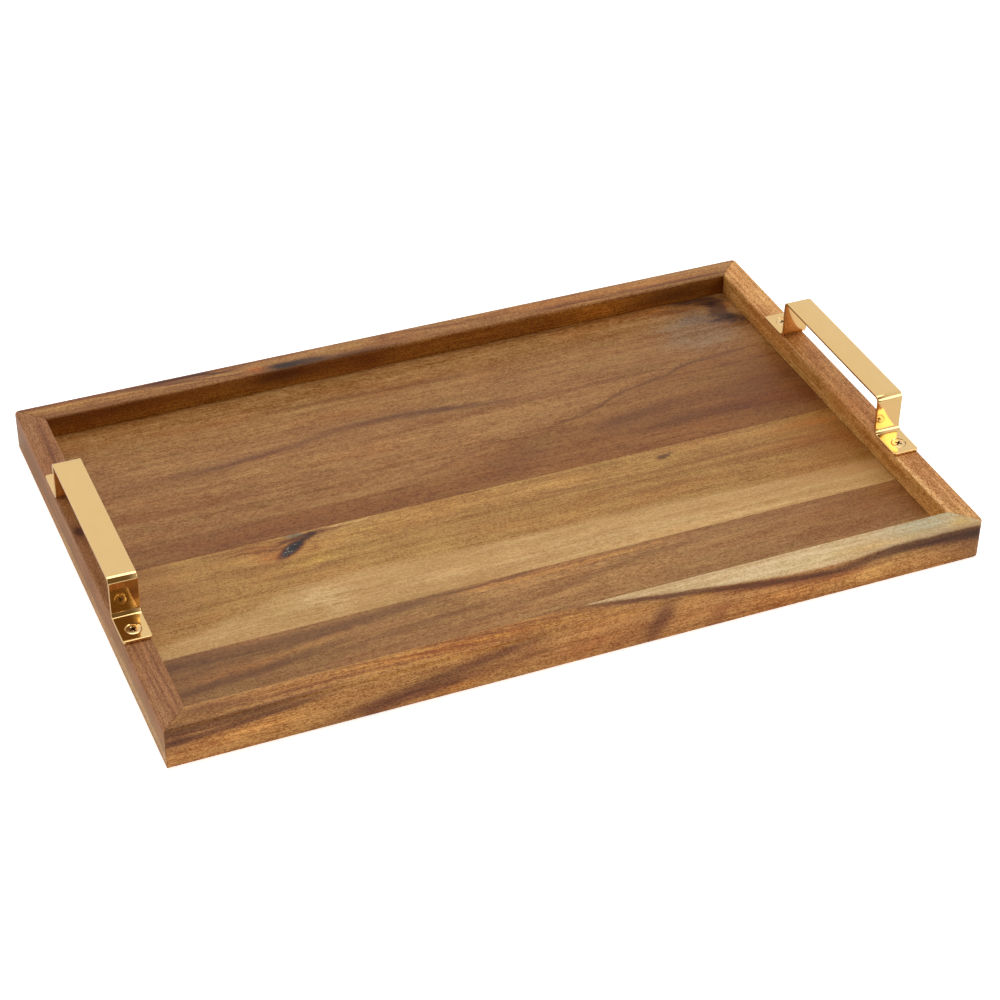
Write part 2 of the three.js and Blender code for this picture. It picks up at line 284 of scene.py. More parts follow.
def board(side):
    """A floor board whose ends and outer edge are let into the rails."""
    low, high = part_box(f"stave_{side}")
    at_front = low.y < -WELL_Y
    at_back = high.y > WELL_Y
    front = low.y if at_front else low.y - SEAM_SQUEEZE
    back = high.y if at_back else high.y + SEAM_SQUEEZE
    outline = board_section(front, back, at_front, at_back)
    tongue_top = FLOOR_TOP - TONGUE_STEP
    shoulder = WELL_X - SHOULDER_GAP
    ease = BOARD_EASE

    def ring(x, ceiling):
        return [(x, y, min(z, ceiling)) for y, z in outline]

    left = [ring(-high.x, tongue_top), ring(-shoulder, tongue_top)]
    left += [ring(-shoulder, FLOOR_TOP - ease), ring(-shoulder + ease, FLOOR_TOP)]
    stations = round(2 * shoulder / STATION_STEP)
    inside = shoulder - BOARD_MARGIN
    middle = [ring(-inside + 2 * inside * i / stations, FLOOR_TOP) for i in range(stations + 1)]
    right = [[(-x, y, z) for x, y, z in ring_points] for ring_points in reversed(left)]
    return mesh_object(f"{side}_board", skin(left + middle + right))


# ---- Handles -----------------------------------------------------------------

strap_low, strap_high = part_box("handle_right")
STRAP_WIDTH = strap_high.x - strap_low.x
STRAP_THICKNESS = 1.6 * MM
STRAP_EDGE = 0.35 * MM  # rounding of the strap's four long edges
LEG_OUTER = 55.5 * MM  # outer face of a leg, from the middle of the tray
GRIP_BEND = 3.6 * MM  # outer radius
FOOT_BEND = 3.0 * MM  # upper radius
FOOT_CORNER = 1.6 * MM
BEND_STEPS = 12
BORE_RADIUS = 2.2 * MM
SINK_PLAY = 0.3 * MM  # round the head of a screw
TIP_SHARES = (0, 0.02, 0.08, 0.18, 0.3, 0.45, 0.7, 1)  # of the foot's rounded corner, from its tip


def strap_path():
    """Half of the strap's middle line, from the end of a foot to the middle of the grip.

    Each point is (y, z, angle of its direction in degrees)."""
    half = STRAP_THICKNESS / 2
    foot_z = strap_low.z + half
    grip_z = strap_high.z - half
    leg_y = LEG_OUTER - half
    lower = FOOT_BEND + half
    upper = GRIP_BEND - half
    end = strap_high.y
    path = []
    for share in TIP_SHARES:
        path.append((end - share * FOOT_CORNER, foot_z, 180))
    flat_end = leg_y + lower
    for i in range(1, 6):
        path.append((end - FOOT_CORNER + (flat_end - end + FOOT_CORNER) * i / 6, foot_z, 180))
    for i in range(BEND_STEPS + 1):
        turn = math.radians(90 * i / BEND_STEPS)
        y = flat_end - lower * math.sin(turn)
        z = foot_z + lower * (1 - math.cos(turn))
        path.append((y, z, 180 - math.degrees(turn)))
    leg_top = grip_z - upper
    for i in range(1, 5):
        path.append((leg_y, foot_z + lower + (leg_top - foot_z - lower) * i / 5, 90))
    for i in range(BEND_STEPS + 1):
        turn = math.radians(90 * i / BEND_STEPS)
        y = leg_y - upper * (1 - math.cos(turn))
        z = leg_top + upper * math.sin(turn)
        path.append((y, z, 90 + math.degrees(turn)))
    grip_end = leg_y - upper
    for i in range(1, 7):
        path.append((grip_end * (1 - i / 6), grip_z, 180))
    return path


def strap_ring(y, z, angle, from_end):
    """The strap's cross-section at a point of its middle line."""
    edge = STRAP_EDGE
    corner_gap = max(0.0, FOOT_CORNER - from_end)
    edge_gap = max(0.0, edge - from_end)
    round_off = FOOT_CORNER - math.sqrt(FOOT_CORNER**2 - corner_gap**2)
    thin_off = edge - math.sqrt(edge**2 - edge_gap**2)
    half_width = STRAP_WIDTH / 2 - round_off
    half_thick = STRAP_THICKNESS / 2 - thin_off
    edge = min(edge, half_thick)
    outline = []
    for quarter, (side, face) in enumerate(((1, 1), (-1, 1), (-1, -1), (1, -1))):
        centre_x = side * (half_width - edge)
        centre_n = face * (half_thick - edge)
        outline += arc(centre_x, centre_n, edge, 90 * quarter, 90 * quarter + 90, 4)
    direction = math.radians(angle)
    up = (math.sin(direction), -math.cos(direction))
    return [(x, y + up[0] * n, z + up[1] * n) for x, n in outline]


def countersink(x, y, top):
    """The hole for a screw: a cone under a small bright bevel, then a straight bore."""
    flare = screw_radius + SINK_PLAY
    profile = [(flare + 0.8 * MM, MM), (flare + 0.12 * MM, 0.02 * MM), (flare - 0.1 * MM, -0.25 * MM)]
    profile += [(BORE_RADIUS, -2.1 * MM), (BORE_RADIUS, -4 * MM)]
    return lathe("countersink", profile, (x, y, top))


def handle(side):
    """One bent strap with a countersunk hole in each foot."""
    low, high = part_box(f"handle_{side}")
    half_path = strap_path()
    mirrored = [(-y, z, 360 - angle) for y, z, angle in reversed(half_path[:-1])]
    end = half_path[0][0]
    rings = []
    for y, z, angle in half_path + mirrored:
        on_foot = z < low.z + STRAP_THICKNESS
        rings.append(strap_ring(y, z, angle, end - abs(y) if on_foot else end))
    builder = skin(rings)
    bmesh.ops.translate(builder, vec=((low.x + high.x) / 2, 0, 0), verts=builder.verts)
    piece = mesh_object(f"{side}_handle", builder)
    for foot in ("front", "back"):
        hole_low, hole_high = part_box(f"screw_{side}_{foot}")
        centre = (hole_low + hole_high) / 2
        cut(piece, countersink(centre.x, centre.y, low.z + STRAP_THICKNESS))
    shade(piece.data)
    return piece


# ---- Screws ------------------------------------------------------------------

screw_low, screw_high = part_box("screw_left_front")
screw_radius = (screw_high.x - screw_low.x) / 2
screw_top = screw_high.z
SHANK_RADIUS = 1.75 * MM
CORE_RADIUS = 1.3 * MM
HEAD_DEPTH = 2.3 * MM
PLAIN_SHANK = 2.5 * MM  # between the head and the thread
POINT_LENGTH = 2.3 * MM
THREAD_PITCH = 1.6 * MM
HEAD_CROWN = 0.26 * MM  # how far the slightly domed head falls towards its rim
CROWN_SHARES = (0.94, 0.8, 0.62, 0.4, 0.15)  # of the head's radius
RECESS_ARM = 2.15 * MM
RECESS_HALF_WIDTH = 0.52 * MM
RECESS_LEVELS = ((1.25, 0.5), (1.0, 0.0), (0.62, -1.3), (0.25, -1.7))  # (scale, height in millimetres)
SCREW_TURNS = {"left_front": 0.35, "left_back": 1.1, "right_front": 0.75, "right_back": 0.2}


def cross_cutter(x, y, top, turn):
    """A cross recess: four arms that narrow towards the bottom."""
    rings = []
    for scale, height in RECESS_LEVELS:
        arm = RECESS_ARM * scale
        half = RECESS_HALF_WIDTH * (0.4 + 0.6 * scale)
        quarter = [(arm, -half), (arm, half), (half, half)]
        ring = []
        for k in range(4):
            for px, py in quarter:
                for _ in range(k):
                    px, py = -py, px
                ring.append((px, py, height * MM))
        rings.append(ring)
    builder = skin(rings)
    bmesh.ops.rotate(builder, cent=(0, 0, 0), matrix=Matrix.Rotation(turn, 3, "Z"), verts=builder.verts)
    bmesh.ops.translate(builder, vec=(x, y, top), verts=builder.verts)
    return mesh_object("cross", builder)


def screw(where):
    """A countersunk wood screw with a cross recess."""
    low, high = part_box(f"screw_{where}")
    centre = (low + high) / 2
    rim = screw_radius
    tip = low.z - high.z
    profile = [(0.02 * MM, tip), (CORE_RADIUS * 0.55, tip + 1.1 * MM)]
    thread_top = -HEAD_DEPTH - PLAIN_SHANK
    height = tip + POINT_LENGTH
    while height < thread_top:
        profile += [(CORE_RADIUS, height), (SHANK_RADIUS, height + THREAD_PITCH / 2)]
        height += THREAD_PITCH
    profile += [(SHANK_RADIUS, thread_top + MM), (SHANK_RADIUS, -HEAD_DEPTH)]
    profile += [(rim - 0.06 * MM, -0.5 * MM), (rim, -0.4 * MM), (rim - 0.04 * MM, -0.3 * MM)]
    profile += [(rim * share, -HEAD_CROWN * share**2) for share in CROWN_SHARES]
    piece = lathe(f"{where}_screw", profile, (centre.x, centre.y, high.z))
    cut(piece, cross_cutter(centre.x, centre.y, high.z, SCREW_TURNS[where]))
    shade(piece.data)
    return piece


# ---- Materials: fields on a node tree ----------------------------------------


class Field:
    """A number that varies over a surface, so that sums and products of fields read as formulas."""

    def __init__(self, tree, socket):
        self.tree = tree
        self.socket = socket

    def apply(self, operation, *others):
        node = self.tree.nodes.new("ShaderNodeMath")
        node.operation = operation
        for i, value in enumerate((self, *others)):
            if isinstance(value, Field):
                self.tree.links.new(value.socket, node.inputs[i])
            else:
                node.inputs[i].default_value = value
        return Field(self.tree, node.outputs[0])

    def __add__(self, other):
        return self.apply("ADD", other)

    def __sub__(self, other):
        return self.apply("SUBTRACT", other)

    def __mul__(self, other):
        return self.apply("MULTIPLY", other)

    def __truediv__(self, other):
        return self.apply("DIVIDE", other)

    def __neg__(self):
        return self * -1

    def absolute(self):
        return self.apply("ABSOLUTE")

    def smooth(self, low, high):
        """0 where the field is at low, 1 where it is at high, with soft ends."""
        node = self.tree.nodes.new("ShaderNodeMapRange")
        node.interpolation_type = "SMOOTHSTEP"
        self.tree.links.new(self.socket, node.inputs["Value"])
        node.inputs["From Min"].default_value = low
        node.inputs["From Max"].default_value = high
        return Field(self.tree, node.outputs["Result"])


def noise_field(tree, x, y, z, detail, roughness=0.5):
    """Noise from 0 to 1 with features about one unit across."""
    join = tree.nodes.new("ShaderNodeCombineXYZ")
    for i, value in enumerate((x, y, z)):
        if isinstance(value, Field):
            tree.links.new(value.socket, join.inputs[i])
        else:
            join.inputs[i].default_value = value
    node = tree.nodes.new("ShaderNodeTexNoise")
    tree.links.new(join.outputs[0], node.inputs["Vector"])
    node.inputs["Scale"].default_value = 1
    node.inputs["Detail"].default_value = detail
    node.inputs["Roughness"].default_value = roughness
    return Field(tree, node.outputs["Fac"])


def object_place(tree):
    """The three coordinates of a point in the frame, in millimetres."""
    coordinates = tree.nodes.new("ShaderNodeTexCoord")
    split = tree.nodes.new("ShaderNodeSeparateXYZ")
    tree.links.new(coordinates.outputs["Object"], split.inputs[0])
    return [Field(tree, split.outputs[i]) / MM for i in range(3)]


def new_material(name):
    material = bpy.data.materials.new(name)
    material.use_nodes = True
    tree = material.node_tree
    return material, tree, tree.nodes["Principled BSDF"]


def srgb(red, green, blue):
    """A colour as seen on a screen, 0 to 255, in linear light."""
    linear = []
    for value in (red, green, blue):
        share = value / 255
        linear.append(share / 12.92 if share <= 0.04045 else ((share + 0.055) / 1.055) ** 2.4)
    return (*linear, 1)


def mixed(tree, first, second, share, blend="MIX", overshoot=False):
    """The first colour, turning into the second as far as the share says.

    With overshoot, a share past 1 goes on past the second."""
    node = tree.nodes.new("ShaderNodeMix")
    node.data_type = "RGBA"
    node.blend_type = blend
    node.clamp_factor = not overshoot
    tree.links.new(share.socket, node.inputs[0])
    if isinstance(first, tuple):
        node.inputs[6].default_value = first
    else:
        tree.links.new(first, node.inputs[6])
    node.inputs[7].default_value = second
    return node.outputs[2]


def tinted(tree, colour, tint, mask):
    """The colour times the tint, as far as the mask says."""
    return mixed(tree, colour, (*tint, 1), mask, "MULTIPLY")


def bumped(tree, shader, height, strength, distance):
    bump = tree.nodes.new("ShaderNodeBump")
    bump.inputs["Strength"].default_value = strength
    bump.inputs["Distance"].default_value = distance
    tree.links.new(height.socket, bump.inputs["Height"])
    tree.links.new(bump.outputs[0], shader.inputs["Normal"])


# ---- Wood --------------------------------------------------------------------
#
# Each board has its own coordinates in millimetres: u along the grain and v across it. What grew
# in it, with some painted light and shade, is a list of marks, and each mark is a tint with a mask. The
# grain's wander bends them all.


def spot(u, v, reach_u, reach_v, tint, slope=0.0, core=0.0):
    """A cloudy spot. Slope leans it, and core is the share of its reach with the full tint."""
    return {"kind": "spot", "u": u, "v": v, "reach_u": reach_u, "reach_v": reach_v, "tint": tint,
            "slope": slope, "core": core}


def vein(points, reach, tint, core=0.0):
    """A long streak along points of (u, v), that narrows towards both ends."""
    return {"kind": "vein", "points": points, "reach": reach, "tint": tint, "core": core}


def zone(points, softness, tint, calm=0.0):
    """All that lies at a lower v than a line along points of (u, v). Calm evens out its grain."""
    return {"kind": "zone", "points": points, "softness": softness, "tint": tint, "calm": calm}


def share_along(points, u):
    return (u - points[0][0]) / (points[-1][0] - points[0][0])


def line_through(tree, points, u):
    """The v of a smooth line through points of (u, v)."""
    lowest = min(v for _, v in points) - 2
    spread = max(v for _, v in points) + 2 - lowest
    start = points[0][0]
    length = points[-1][0] - start
    node = tree.nodes.new("ShaderNodeFloatCurve")
    curve = node.mapping.curves[0]
    places = [((pu - start) / length, (pv - lowest) / spread) for pu, pv in points]
    curve.points[0].location = places[0]
    curve.points[-1].location = places[-1]
    for place_along in places[1:-1]:
        curve.points.new(*place_along)
    node.mapping.update()
    tree.links.new(share_along(points, u).socket, node.inputs["Value"])
    return Field(tree, node.outputs[0]) * spread + lowest


def soft_disc(square, core):
    """1 in the middle and fading out near 1, from the square of the distance."""
    return ((square * -2.2).apply("EXPONENT") * (1 / (1 - core))).apply("MINIMUM", 1.0)


def mark_mask(tree, mark, u, v):
    if mark["kind"] == "spot":
        du = (u - mark["u"]) / mark["reach_u"]
        dv = (v - mark["v"] - (u - mark["u"]) * mark["slope"]) / mark["reach_v"]
        return soft_disc(du * du + dv * dv, mark["core"])
    line = line_through(tree, mark["points"], u)
    if mark["kind"] == "vein":
        dv = (v - line) / mark["reach"]
        du = share_along(mark["points"], u) * 2 - 1
        square = du * du
        return soft_disc(dv * dv + square * square, mark["core"])
    return ((line - v) / mark["softness"]).smooth(-0.5, 0.5)


def grain_wander(tree, u, v, seed, amount):
    """How far the grain is carried sideways: long slow waves with shorter ones on them."""
    slow = noise_field(tree, u / 95, v / 30, seed, 1) - 0.5
    quick = noise_field(tree, u / 28, v / 9, seed + 5.3, 1) - 0.5
    return (slow * 6 + quick * 1.8) * amount


def around_knot(u, v, knot):
    """The grain parts and flows round a knot at (u, v, reach along the grain, reach across it)."""
    knot_u, knot_v, reach_u, reach_v = knot
    du = (u - knot_u) / reach_u
    dv = (v - knot_v) / reach_v
    near = (-(du * du + dv * dv)).apply("EXPONENT")
    return v - (v - knot_v) * near * 0.75


class Grain:
    """The layers of noise in a wood, each around 0, from its broad streaks down to its grit."""

    def __init__(self, tree, u, v, seed):
        def layer(reach_u, reach_v, shift, detail, roughness=0.6):
            return noise_field(tree, u / reach_u, v / reach_v, seed + shift, detail, roughness) - 0.5

        self.broad = layer(170, 7.5, 11, 2, 0.5)
        self.bands = layer(90, 2.1, 23, 3)
        self.fibres = layer(22, 0.7, 37, 2)
        self.clouds = layer(26, 10, 51, 3)
        self.flecks = layer(3.2, 1.1, 59, 2)
        self.grit = layer(1.3, 0.6, 67, 1.5)
        self.hue = layer(60, 12, 83, 2, 0.5)
        self.mottle = layer(7, 4, 97, 2)
        self.pores = self.grit.smooth(0.1, 0.24)
        streaks = self.broad * 0.8 + self.bands * 0.85 + self.fibres * 0.85 + self.clouds * 0.75
        self.light = streaks + self.mottle * 0.3 + self.flecks * 1.1 + self.grit * 2.3


def base_tone(tree, base, grain, contrast):
    """The mean colour, turning red where the wood is dark and yellow where it is light."""
    share = (grain.light * contrast + 0.5).apply("MAXIMUM", 0.0).apply("MINIMUM", 1.2)
    red, green, blue, _ = base
    dark = (red * 0.62, green * 0.44, blue * 0.14, 1)
    light = (red * 1.38, green * 1.56, blue * 1.86, 1)
    colour = mixed(tree, dark, light, share, overshoot=True)
    colour = tinted(tree, colour, (1.02, 0.93, 0.84), grain.hue.smooth(-0.05, 0.25))
    return tinted(tree, colour, (0.98, 1.04, 0.98), grain.hue.smooth(0.05, -0.25))


def with_marks(tree, colour, base, marks, u, v, grain, ragged):
    """The colour with the board's own marks on it. Ragged is how much the grain frays them."""
    breakup = ((grain.bands + grain.flecks) * 2.2 + grain.clouds * 1.6 + grain.mottle) * ragged + 1.0
    ragged_u = u + (grain.clouds * 26 + grain.flecks * 3) * ragged
    ragged_v = v + (grain.mottle * 4.5 + grain.bands * 2.5 + grain.flecks * 1.2) * ragged
    for mark in marks:
        mask = mark_mask(tree, mark, ragged_u, ragged_v)
        if mark["kind"] != "zone":
            mask = (mask * breakup).apply("MINIMUM", 1.0)
        elif mark["calm"]:
            colour = mixed(tree, colour, base, mask * mark["calm"])
        colour = tinted(tree, colour, mark["tint"], mask)
    return colour


def with_knot_hearts(tree, colour, knots, u, v, grain):
    """The dead black middle of each knot, with a burnt rim and a painted grey highlight at its lower end."""
    frayed_u = u + grain.flecks * 5 + grain.mottle * 6 + grain.grit * 4
    frayed_v = v + grain.flecks * 3 + grain.mottle * 4 + grain.grit * 3
    for knot_u, knot_v, reach_u, reach_v in knots:
        du = (frayed_u - knot_u) / (reach_u * 0.26)
        dv = (frayed_v - knot_v - (frayed_u - knot_u) * 0.6) / (reach_v * 0.4)
        square = du * du + dv * dv
        colour = tinted(tree, colour, (0.36, 0.22, 0.16), square.smooth(3.4, 1.0))
        colour = mixed(tree, colour, KNOT_BLACK, square.smooth(1.3, 0.7))
        # painted highlight: grey on the knot's heart, strongest at its lower end
        highlit_end = (-du).smooth(-0.9, 0.9) * 0.14
        knot_highlight = (grain.grit + highlit_end).smooth(0.12, 0.24) * square.smooth(1.5, 0.7)
        colour = mixed(tree, colour, KNOT_HIGHLIGHT_GREY, knot_highlight)
    return colour


def worn_and_highlit_edge(tree, u, v, seed):
    """1 in patches along a rail's outer upper edge, and 0 elsewhere: where hands have worn it, and where a
    painted highlight lies on that edge.
    """
    patches = noise_field(tree, u / 9, v / 3, seed + 71, 2).smooth(0.4, 0.7)
    return (v - RAIL_WIDTH / MM).absolute().smooth(1.8, 0.3) * patches


def wood(name, base, axes, seed, marks, knots=(), wander=1.0, ragged=1.0, contrast=1.0,
         roughness=0.46, edge_wear_and_highlight=False):
    """A wood of that mean colour. axes gives (u, v) from the place in the frame."""
    material, tree, shader = new_material(name)
    u, v_straight = axes(*object_place(tree))
    v = v_straight
    for knot in knots:
        v = around_knot(u, v, knot)
    v = v + grain_wander(tree, u, v, seed, wander)
    grain = Grain(tree, u, v, seed)
    colour = base_tone(tree, base, grain, contrast)
    colour = with_marks(tree, colour, base, marks, u, v, grain, ragged)
    colour = with_knot_hearts(tree, colour, knots, u, v_straight, grain)
    colour = tinted(tree, colour, (0.78, 0.72, 0.66), grain.pores)
    rough = grain.light * 0.12 + grain.pores * 0.14 + roughness
    # lighter along the outer upper edge: real wear, and a painted highlight on that edge
    if edge_wear_and_highlight:
        wear_and_highlight = worn_and_highlit_edge(tree, u, v_straight, seed)
        colour = tinted(tree, colour, (1.14, 1.13, 1.1), wear_and_highlight)
        rough = rough - wear_and_highlight * 0.08
    tree.links.new(colour, shader.inputs["Base Color"])
    tree.links.new(rough.socket, shader.inputs["Roughness"])
    shader.inputs["IOR"].default_value = 1.48
    shader.inputs["Specular IOR Level"].default_value = 0.32
    height = grain.fibres * 0.7 + grain.flecks * 0.3 - grain.pores
    bumped(tree, shader, height, 0.4, 0.1 * MM)
    return material


def floor_axes(x, y, z):
    return x, y


def unfolded(across, z):
    """Distance across a rail's top from its inner edge, running on down both its faces."""
    half = RAIL_WIDTH / MM / 2
    return across + (-z + HEIGHT / MM) * (across / half - 1)


def front_axes(x, y, z):
    return x, unfolded(-y - WELL_Y / MM, z)


def back_axes(x, y, z):
    return x, unfolded(y - WELL_Y / MM, z)


def left_axes(x, y, z):
    return y, unfolded(-x - WELL_X / MM, z)


def right_axes(x, y, z):
    return y, unfolded(x - WELL_X / MM, z)


PURPLE_HINT = (0.72, 0.64, 0.72)
GOLDEN = (1.14, 1.16, 1.16)
SAP = (1.6, 2.5, 5.2)
KNOT_BLACK = (0.014, 0.009, 0.009, 1)
# painted highlight on a knot's heart
KNOT_HIGHLIGHT_GREY = (0.22, 0.17, 0.155, 1)

BACK_BOARD_MARKS = [
    zone([(-213, 12), (-113, 12), (-38, 17), (11, 28), (54, 41), (119, 55), (181, 70), (213, 72)], 7,
         (0.9, 0.84, 0.74)),
    zone([(-213, -2), (-90, 6), (20, 14), (120, 30), (213, 50)], 22, (0.88, 0.81, 0.74)),
    # painted light: a lighter band along the back rail, lifting the shade the rail casts on the board
    spot(0, 124, 300, 17, (1.14, 1.22, 1.4)),
    vein([(-100, 112), (-20, 108), (60, 105)], 2.6, (0.72, 0.64, 0.6)),
    vein([(-215, 71), (-150, 69), (-90, 73), (-46, 80), (-16, 79), (20, 75), (60, 68)], 4.6, PURPLE_HINT),
    vein([(-66, 80), (-30, 80), (0, 78), (46, 69)], 3.6, (0.66, 0.58, 0.62), core=0.1),
    vein([(-170, 66), (-140, 68), (-84, 72)], 3.0, (0.74, 0.66, 0.7)),
    vein([(20, 73), (90, 68), (170, 67)], 2.2, (0.82, 0.76, 0.76)),
    vein([(-215, 40), (-160, 38), (-110, 39)], 3.0, (0.78, 0.68, 0.64)),
    vein([(40, 36), (74, 42), (106, 52), (133, 59), (159, 67), (215, 72)], 1.7, (0.6, 0.52, 0.48), core=0.2),
    vein([(92, 55), (120, 62), (150, 70), (200, 77)], 2.4, (1.12, 1.16, 1.16)),
    vein([(-160, 54), (0, 58), (140, 66)], 7, GOLDEN),
    vein([(-210, 92), (-90, 94), (40, 90)], 8, GOLDEN),
    vein([(-120, 30), (-20, 40), (60, 54)], 7, (1.08, 1.08, 1.08)),
    vein([(70, 22), (110, 31), (150, 36)], 6, (0.76, 0.7, 0.76)),
    vein([(100, 12), (150, 16), (190, 14)], 7, (0.74, 0.68, 0.74)),
    spot(25, 15, 32, 14, (0.78, 0.72, 0.76), slope=0.2),
    vein([(-50, 13), (-22, 22), (20, 32)], 2, (0.78, 0.68, 0.66)),
    spot(-140, 5, 80, 14, (0.86, 0.78, 0.8)),
    # painted shade: these two spots darken the board towards the right rail and redden it, as that rail
    # shades it and throws brown light back
    spot(206, 26, 60, 48, (0.72, 0.58, 0.42)),
    spot(150, 62, 70, 60, (0.93, 0.91, 0.9)),
    spot(104, 25, 40, 10, (0.84, 0.78, 0.84)),
    spot(180, 98, 30, 25, (0.9, 1.08, 1.9), core=0.3),
    spot(186, 112, 12, 10, (0.7, 0.72, 0.9)),
    spot(196, 127, 22, 8, (0.26, 0.22, 0.3), slope=-0.3, core=0.4),
    spot(176, 122, 18, 4, (0.55, 0.48, 0.55), slope=-0.2),
    spot(203, 114, 9, 15, (0.36, 0.3, 0.38), slope=-0.6, core=0.4),
    spot(205, 102, 13, 9, (0.28, 0.25, 0.36), slope=-0.2, core=0.4),
    spot(211, 119, 6, 4, (1.5, 1.2, 0.9)),
    spot(165, 128, 13, 5, (1.25, 1.08, 0.9)),
]

MIDDLE_BOARD_MARKS = [
    zone([(-213, -74), (-165, -62), (-110, -50), (0, -52), (100, -55), (213, -60)], 7,
         (1.32, 1.54, 2.3), calm=0.45),
    spot(-205, -10, 36, 9, (0.78, 0.66, 0.56)),
    spot(30, -14, 130, 10, (1.12, 1.14, 1.16)),
    vein([(-90, -70), (20, -70), (150, -72)], 9, (1.1, 1.16, 1.28)),
    vein([(-60, -79), (60, -79), (215, -79)], 3.5, (1.12, 1.14, 1.2)),
    spot(-116, -66, 15, 15, (1.2, 1.34, 1.6), slope=0.1, core=0.35),
    spot(-114, -31, 20, 11, (1.1, 1.14, 1.0)),
    spot(-196, -38, 36, 22, (0.8, 0.74, 0.78)),
    spot(-140, -30, 30, 8, (0.94, 0.88, 0.86)),
    vein([(20, -21), (36, -22.5), (60, -22)], 1.8, (0.72, 0.62, 0.56)),
    vein([(40, -25), (120, -24), (220, -28)], 1.8, (0.76, 0.64, 0.54)),
    vein([(30, -33), (110, -30), (215, -33)], 3.5, (0.86, 0.76, 0.68)),
    vein([(50, -41), (92, -40), (140, -42)], 3.2, (0.84, 0.78, 0.76)),
    vein([(-60, -30), (20, -34), (90, -33)], 5, (0.92, 0.86, 0.82)),
    vein([(-100, -14), (-38, -10), (40, -6)], 4, (1.1, 1.16, 1.2)),
    vein([(-104, -18), (-60, -13), (-10, -9)], 1.0, (0.78, 0.68, 0.58)),
    # painted shade: the board darker and redder towards the right rail, which shades it and throws brown
    # light back
    spot(207, -38, 44, 48, (0.78, 0.62, 0.48)),
    spot(196, -13, 30, 8, (1.0, 0.82, 0.66)),
    # painted shade: a milder darkening towards the right rail
    spot(170, -40, 60, 40, (0.94, 0.91, 0.9)),
    spot(-129, -40, 9, 2.6, (0.74, 0.66, 0.7)),
    spot(-107, -38, 12, 3.6, (0.74, 0.66, 0.7), slope=0.15),
    spot(105.5, -13, 4.6, 2.2, (0.32, 0.24, 0.2), core=0.5),
    spot(-138, -12, 26, 5, (0.84, 0.66, 0.52), slope=-0.1),
    spot(-129, -19, 10, 4, (0.94, 0.68, 0.5)),
    vein([(-170, -9), (-146, -10), (-122, -14)], 1.0, (0.66, 0.48, 0.38)),
    vein([(-160, -13), (-142, -14), (-122, -17)], 1.2, (0.55, 0.38, 0.3)),
    vein([(-160, -6), (-140, -7), (-118, -10)], 1.0, (0.74, 0.58, 0.46)),
    spot(-119, -11, 8, 3.2, (0.7, 0.52, 0.46)),
    spot(-113, -7.5, 8, 2.4, (0.5, 0.7, 1.5), core=0.35),
    spot(-120, -17, 13, 4.6, (0.62, 0.42, 0.3), slope=0.5),
    vein([(-126, -20), (-112, -12), (-98, -8.2)], 1.5, (0.26, 0.18, 0.16), core=0.4),
    vein([(-134, -16), (-112, -9.6), (-92, -8)], 1.2, (0.42, 0.3, 0.26), core=0.3),
    vein([(-114, -11.5), (-98, -8.5), (-80, -8)], 2.4, (0.66, 0.5, 0.5), core=0.2),
    vein([(-98, -6.5), (-84, -6), (-66, -5.5)], 1.1, (1.3, 1.45, 1.9), core=0.3),
    spot(-108, -28, 16, 7, (1.12, 1.16, 1.05)),
    spot(-70, -16, 34, 8, (1.16, 1.18, 1.12)),
    spot(-106, -19, 6, 1.4, (0.7, 0.54, 0.42)),
]

FRONT_BOARD_MARKS = [
    spot(0, -96, 120, 30, (1.14, 1.17, 1.16)),
    vein([(-280, -88), (-190, -88), (-120, -87), (-30, -82.5)], 6, (0.56, 0.48, 0.46), core=0.1),
    vein([(-216, -98), (-150, -93), (-90, -88)], 2.4, (0.78, 0.7, 0.7)),
    vein([(-70, -83.5), (-30, -83), (10, -82)], 1.4, (0.6, 0.52, 0.5)),
    vein([(-205, -103), (-160, -99), (-110, -93)], 2.2, (1.2, 1.16, 1.05)),
    vein([(-280, -116), (-180, -107), (-110, -98)], 4.2, (0.6, 0.52, 0.5), core=0.1),
    vein([(-150, -112), (-90, -104), (-20, -97)], 3.2, (0.76, 0.7, 0.7)),
    vein([(-90, -116), (-20, -106), (60, -92), (120, -86)], 3.0, (0.8, 0.74, 0.72)),
    vein([(-80, -96), (-20, -93), (60, -86)], 4.5, (1.16, 1.22, 1.26)),
    vein([(-60, -86), (20, -86), (90, -83)], 3.2, (1.24, 1.18, 1.0)),
    vein([(-40, -109), (20, -104), (80, -100)], 4, (1.12, 1.16, 1.18)),
    vein([(90, -84), (150, -85), (230, -83)], 2.2, (0.8, 0.7, 0.66)),
    # painted shade: the board darker and redder towards the right rail, which shades it
    spot(206, -98, 60, 22, (0.78, 0.64, 0.54)),
    spot(-200, -98, 80, 26, (0.78, 0.72, 0.66)),
]

